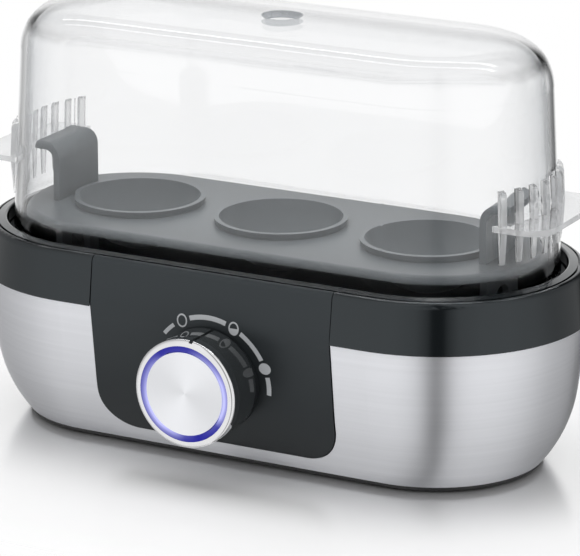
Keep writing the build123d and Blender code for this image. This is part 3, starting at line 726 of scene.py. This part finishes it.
class Print:
    """Flat signs laid on the panel round the dial."""

    def __init__(self, settings):
        self.settings = settings
        self.mesh = bmesh.new()

    def point(self, radius, angle, across=0.0, up=0.0):
        """A vertex on the panel, at an angle clockwise from the dial's top, moved across and up."""
        x = dial_centre.x + radius * math.sin(angle) + across
        z = dial_centre.z + radius * math.cos(angle) + up
        return self.mesh.verts.new(panel_spot(x, z, 0.2 * self.settings.thickness))

    def strip(self, rows):
        """Faces between rows of vertices."""
        for near, far in zip(rows, rows[1:]):
            for corners in zip(near, near[1:], far[1:], far):
                self.mesh.faces.new(corners)

    def bar(self, first, last, slim=1.0):
        """A bar bent round the dial from one angle to another."""
        count = max(4, int((last - first) / BAR_STEP))
        angles = [math.radians(first + (last - first) * step / count) for step in range(count + 1)]
        shares = (-0.5, -0.25, 0.0, 0.25, 0.5)
        radius = self.settings.radius
        width = self.settings.bar_width * slim
        self.strip([[self.point(radius + share * width, angle) for share in shares] for angle in angles])

    def oval(self, angle, width, height, inner=0.0, half=False):
        """An oval sign: filled, or a line with an open middle whose lower half may be filled."""
        angle = math.radians(angle)
        turn = [2 * math.pi * step / OVAL_STEPS for step in range(OVAL_STEPS + 1)]
        rings = []
        for share in (inner, (1 + inner) / 2, 1.0):
            rings.append([
                self.point(self.settings.radius, angle,
                           share * width / 2 * math.sin(spot), share * height / 2 * math.cos(spot))
                for spot in turn
            ])
        self.strip(rings)
        if half:
            lower = [spot for spot in turn if math.pi / 2 <= spot <= 3 * math.pi / 2]
            rows = []
            for share in (1.0, 0.66, 0.33, 0.0):
                rows.append([
                    self.point(self.settings.radius, angle,
                               inner * width / 2 * math.sin(spot),
                               share * inner * height / 2 * math.cos(spot))
                    for spot in lower
                ])
            self.strip(rows)

    def finish(self, name):
        """Turn the signs into one thin piece that faces the front."""
        bmesh.ops.remove_doubles(self.mesh, verts=self.mesh.verts, dist=WELD)
        bmesh.ops.recalc_face_normals(self.mesh, faces=self.mesh.faces)
        for face in self.mesh.faces:
            if face.normal.y > 0:
                face.normal_flip()
        mesh = bpy.data.meshes.new(name)
        self.mesh.to_mesh(mesh)
        self.mesh.free()
        piece = bpy.data.objects.new(name, mesh)
        bpy.context.scene.collection.objects.link(piece)
        shell = piece.modifiers.new("thickness", "SOLIDIFY")
        shell.thickness = self.settings.thickness
        shell.offset = 1.0
        return piece


def print_ink(name, colour):
    """Pale printing ink."""
    material, graph = new_material(name)
    place = graph.place()
    speck = graph.noise(place, 0.0004, 3.0)
    base = graph.blend(speck, rgb(colour, 0.93), rgb(colour, 1.06))
    graph.surface(graph.principled({
        "Base Color": base,
        "Roughness": 0.4 + speck * 0.15,
    }))
    return material


class COOKER_OT_scale(bpy.types.Operator):
    """Print the scale round the dial"""

    bl_idname = "cooker.scale"
    bl_label = "Dial scale"
    bl_options = {"REGISTER", "UNDO"}

    def execute(self, context):
        settings = context.scene.cooker_scale
        wide, high = settings.oval_width, settings.oval_height
        open_share = 1 - 2 * settings.line / wide
        signs = Print(settings)
        signs.bar(*FIRST_BAR, 0.8)
        for first, last in BARS:
            signs.bar(first, last)
        signs.oval(OPEN_OVAL, wide, high, open_share)
        signs.oval(HALF_OVAL, wide, high, open_share, half=True)
        signs.oval(FULL_OVAL, wide * 1.15, wide * 1.05)
        piece = signs.finish("dial_scale")
        piece.data.materials.append(print_ink("scale_ink", settings.colour))
        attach(piece, "base")
        return {"FINISHED"}


# Stage


def studio_world(settings):
    """A white room. Shiny surfaces see two wide softboxes, darker sides and a dark gap in front."""
    world = bpy.data.worlds.new("studio")
    world.use_nodes = True
    graph = Graph(world.node_tree)
    path = graph.node("ShaderNodeLightPath", output="Is Camera Ray")
    passed = path["Is Transmission Ray"]
    bent = path.math("MAXIMUM", path["Is Glossy Ray"], passed)
    x, y, z = graph.parts(graph.node("ShaderNodeTexCoord", output="Generated"))
    heading = x.math("ARCTAN2", x, 0 - y) - settings.azimuth
    aside = heading.math("WRAP", heading, math.pi, -math.pi)
    stops = ring_stops(ROOM_LEVELS)
    boxes = graph.node("ShaderNodeValToRGB", {"stops": stops}, {0: 0.5 + aside / (2 * math.pi)})
    behind = graph.step(abs(aside), *BACK_START)
    ceiling = behind * graph.step(z, *CEILING_START, 0.0, 0.8)
    room = boxes.math("MAXIMUM", boxes * (1 - ceiling), passed)
    level = settings.sky_level
    unseen = graph.blend(bent, rgb((level, level, level)), room)
    shader = graph.node("ShaderNodeBackground", {}, {"Color": graph.blend(path, unseen, rgb((1, 1, 1)))})
    graph.node("ShaderNodeOutputWorld", {}, {"Surface": shader})
    return world


def floor_material(settings):
    """White and polished near the object, fading into the white room."""
    material, graph = new_material("studio_floor")
    x, y, _ = graph.parts(graph.place())
    beyond = abs(x) - end_centre
    across = beyond.math("MAXIMUM", beyond, 0.0)
    side = y - body_middle.y
    away = (across * across + side * side) ** 0.5
    mirrored = graph.node("ShaderNodeLightPath", output="Is Glossy Ray")
    polish = graph.step(away, *POLISH_END, settings.floor_polish, 0.03)
    seen = 0.75 * mirrored * graph.step(away, *MIRROR_START)
    fade = graph.step(away, *FADE_OUT)
    matt = graph.node("ShaderNodeBsdfDiffuse", {}, {"Color": rgb(settings.floor_colour)})
    glossy = graph.node("ShaderNodeBsdfGlossy", {}, {"Color": rgb((1, 1, 1)), "Roughness": 0.2})
    through = graph.node("ShaderNodeBsdfTransparent")
    clearness = fade.math("MAXIMUM", fade, seen)
    graph.surface(graph.mix(clearness, graph.mix(polish, matt, glossy), through))
    return material


class COOKER_OT_stage(bpy.types.Operator):
    """Set up the floor, the light and the camera"""

    bl_idname = "cooker.stage"
    bl_label = "Stage"
    bl_options = {"REGISTER", "UNDO"}

    def execute(self, context):
        scene = context.scene
        settings = scene.cooker_stage
        scene.view_settings.view_transform = "Standard"
        scene.world = studio_world(settings)
        self.make_floor(scene, settings)
        self.make_light(scene, settings)
        self.make_camera(scene, settings)
        return {"FINISHED"}

    def make_floor(self, scene, settings):
        """A round floor under the object."""
        outline = bmesh.new()
        bmesh.ops.create_circle(outline, cap_ends=True, segments=96, radius=settings.floor_radius)
        mesh = bpy.data.meshes.new("floor")
        outline.to_mesh(mesh)
        outline.free()
        mesh.materials.append(floor_material(settings))
        floor = bpy.data.objects.new("floor", mesh)
        floor.location = (0, 0, cad_low.z)
        scene.collection.objects.link(floor)

    def make_lamp(self, scene, name, place, sides, power):
        """A flat lamp turned towards the object's length."""
        lamp = bpy.data.lights.new(name, "AREA")
        lamp.shape = "RECTANGLE"
        lamp.size, lamp.size_y = sides
        lamp.energy = power
        box = bpy.data.objects.new(name, lamp)
        box.location = place
        aim = Vector((box.location.x, body_middle.y, body_middle.z))
        box.rotation_euler = (aim - box.location).to_track_quat("-Z", "Y").to_euler()
        scene.collection.objects.link(box)
        return box

    def make_light(self, scene, settings):
        """A wide softbox that isn't mirrored, and a narrow strip that is."""
        softbox = self.make_lamp(scene, "softbox", SOFTBOX_PLACE, SOFTBOX_SIDES, settings.softbox_power)
        softbox.visible_glossy = False
        self.make_lamp(scene, "strip", STRIP_PLACE, STRIP_SIDES, settings.strip_power)

    def make_camera(self, scene, settings):
        """The camera, at its angles and distance from the point it looks at."""
        turn, tilt = settings.azimuth, settings.elevation
        look = Vector((-math.sin(turn) * math.cos(tilt), math.cos(turn) * math.cos(tilt), -math.sin(tilt)))
        data = bpy.data.cameras.new("camera")
        data.sensor_fit = "HORIZONTAL"
        data.sensor_width = SENSOR_WIDTH
        data.lens = settings.lens
        camera = bpy.data.objects.new("camera", data)
        camera.location = Vector(settings.aim) - look * settings.distance
        camera.rotation_euler = look.to_track_quat("-Z", "Y").to_euler()
        scene.collection.objects.link(camera)
        scene.camera = camera


class COOKER_PT_panel(bpy.types.Panel):
    """Lists the pieces and their settings"""

    bl_idname = "COOKER_PT_panel"
    bl_label = "Egg cooker"
    bl_space_type = "VIEW_3D"
    bl_region_type = "UI"
    bl_category = "Cooker"

    def draw(self, context):
        for piece in pieces:
            self.layout.operator(piece.bl_idname)
        for group in (context.scene.cooker_stage, context.scene.cooker_scale, context.scene.cooker_finish):
            for name in group.__annotations__:
                self.layout.prop(group, name)


pieces = (COOKER_OT_hood, COOKER_OT_tray, COOKER_OT_housing, COOKER_OT_skirt, COOKER_OT_dial,
          COOKER_OT_scale, COOKER_OT_insides, COOKER_OT_stage)
settings_groups = {
    "cooker_stage": StageSettings,
    "cooker_scale": ScaleSettings,
    "cooker_finish": FinishSettings,
}


def register():
    for cls in (*settings_groups.values(), *pieces, COOKER_PT_panel):
        bpy.utils.register_class(cls)
    for name, group in settings_groups.items():
        setattr(bpy.types.Scene, name, bpy.props.PointerProperty(type=group))


def unregister():
    for name in settings_groups:
        delattr(bpy.types.Scene, name)
    for cls in (COOKER_PT_panel, *reversed(pieces), *settings_groups.values()):
        bpy.utils.unregister_class(cls)


def main():
    register()
    for piece in pieces:
        family, name = piece.bl_idname.split(".")
        getattr(getattr(bpy.ops, family), name)()


if __name__ == "__main__":
    main()
